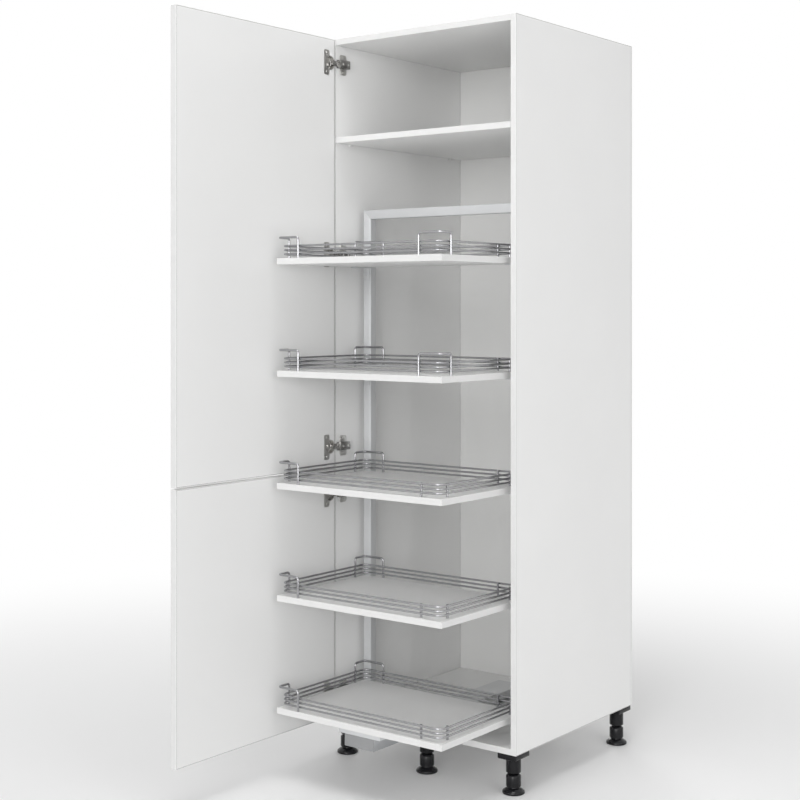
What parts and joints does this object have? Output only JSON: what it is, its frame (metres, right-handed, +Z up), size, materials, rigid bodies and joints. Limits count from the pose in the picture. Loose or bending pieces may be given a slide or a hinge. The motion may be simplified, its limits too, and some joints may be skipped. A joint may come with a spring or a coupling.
{
  "type": "pull-out pantry cabinet",
  "caption": "Tall kitchen pantry cabinet with hinged doors, an upper shelf and a pull-out frame of wire-railed trays on a telescopic floor runner, on turning feet.",
  "frame": {"origin": "on the floor, under the middle of the carcass's front edge", "axes": "+X to the right seen from the front, +Y from the front to the back, +Z up"},
  "size_m": [0.601, 1.2025, 1.955],
  "materials": {
    "white_board": "matt white melamine board",
    "white_front": "satin white lacquered door front",
    "white_back": "matt white lacquered hardboard",
    "dowel_wood": "plain beech",
    "chrome_wire": "polished chrome plating",
    "silver_paint": "satin silver-grey powder coat",
    "runner_steel": "zinc-plated steel",
    "hinge_nickel": "nickel-plated steel",
    "clip_plastic": "white moulded plastic",
    "cap_plastic": "grey moulded plastic",
    "foot_plastic": "black moulded plastic"
  },
  "bodies": {
    "carcass": {"left_side": "white_board", "right_side": "white_board", "top_panel": "white_board", "bottom_panel": "white_board", "back_panel": "white_back", "carcass_dowels": "dowel_wood", "shelf": "white_board", "shelf_supports": "clip_plastic", "hinge_plates": "hinge_nickel", "hinge_arms": "hinge_nickel", "foot_sockets": "foot_plastic", "runner_fixed_rail": "runner_steel"},
    "upper_door": {"upper_door": "white_front", "upper_hinge_cups": "hinge_nickel", "upper_hinge_pins": "hinge_nickel"},
    "lower_door": {"lower_door": "white_front", "lower_hinge_cups": "hinge_nickel", "lower_hinge_pins": "hinge_nickel"},
    "runner_middle": {"runner_middle_rail": "runner_steel"},
    "pullout": {"runner_carriage": "runner_steel", "runner_front_cap": "cap_plastic", "carrier_plate": "silver_paint", "frame_post_left": "silver_paint", "frame_post_right": "silver_paint", "frame_top_bar": "silver_paint", "frame_bottom_bar": "silver_paint", "tray_brackets": "silver_paint", "tray_1_board": "white_board", "tray_1_rails": "chrome_wire", "tray_1_guards": "chrome_wire", "tray_2_board": "white_board", "tray_2_rails": "chrome_wire", "tray_2_guards": "chrome_wire", "tray_3_board": "white_board", "tray_3_rails": "chrome_wire", "tray_3_guards": "chrome_wire", "tray_4_board": "white_board", "tray_4_rails": "chrome_wire", "tray_4_guards": "chrome_wire", "tray_5_board": "white_board", "tray_5_rails": "chrome_wire", "tray_5_guards": "chrome_wire"},
    "foot_left_front": {"foot_left_front": "foot_plastic"},
    "foot_middle_front": {"foot_middle_front": "foot_plastic"},
    "foot_right_front": {"foot_right_front": "foot_plastic"},
    "foot_left_back": {"foot_left_back": "foot_plastic"},
    "foot_right_back": {"foot_right_back": "foot_plastic"}
  },
  "joints": [
    {"name": "pullout_slide", "type": "slide", "parent": "carcass", "child": "pullout", "axis": [0, -1, 0], "range_m": [-0.289, 0.097]},
    {"name": "runner_middle_slide", "type": "slide", "parent": "carcass", "child": "runner_middle", "axis": [0, -1, 0], "range_m": [-0.1445, 0.0485]},
    {"name": "upper_door_hinge", "type": "hinge", "parent": "carcass", "child": "upper_door", "pos_m": [-0.2915, -0.0125, 1.3695], "axis": [0, 0, 1], "range_deg": [-15, 3]},
    {"name": "lower_door_hinge", "type": "hinge", "parent": "carcass", "child": "lower_door", "pos_m": [-0.2915, -0.0125, 0.4445], "axis": [0, 0, 1], "range_deg": [-15, 3]},
    {"name": "foot_left_front_turn", "type": "hinge", "parent": "carcass", "child": "foot_left_front", "pos_m": [-0.27, 0.035, 0.05], "axis": [0, 0, 1], "continuous": true},
    {"name": "foot_middle_front_turn", "type": "hinge", "parent": "carcass", "child": "foot_middle_front", "pos_m": [0, 0.035, 0.05], "axis": [0, 0, 1], "continuous": true},
    {"name": "foot_right_front_turn", "type": "hinge", "parent": "carcass", "child": "foot_right_front", "pos_m": [0.27, 0.035, 0.05], "axis": [0, 0, 1], "continuous": true},
    {"name": "foot_left_back_turn", "type": "hinge", "parent": "carcass", "child": "foot_left_back", "pos_m": [-0.27, 0.565, 0.05], "axis": [0, 0, 1], "continuous": true},
    {"name": "foot_right_back_turn", "type": "hinge", "parent": "carcass", "child": "foot_right_back", "pos_m": [0.27, 0.565, 0.05], "axis": [0, 0, 1], "continuous": true}
  ],
  "couplings": [
    {"joint": "runner_middle_slide", "follows": "pullout_slide", "ratio": 0.5}
  ]
}
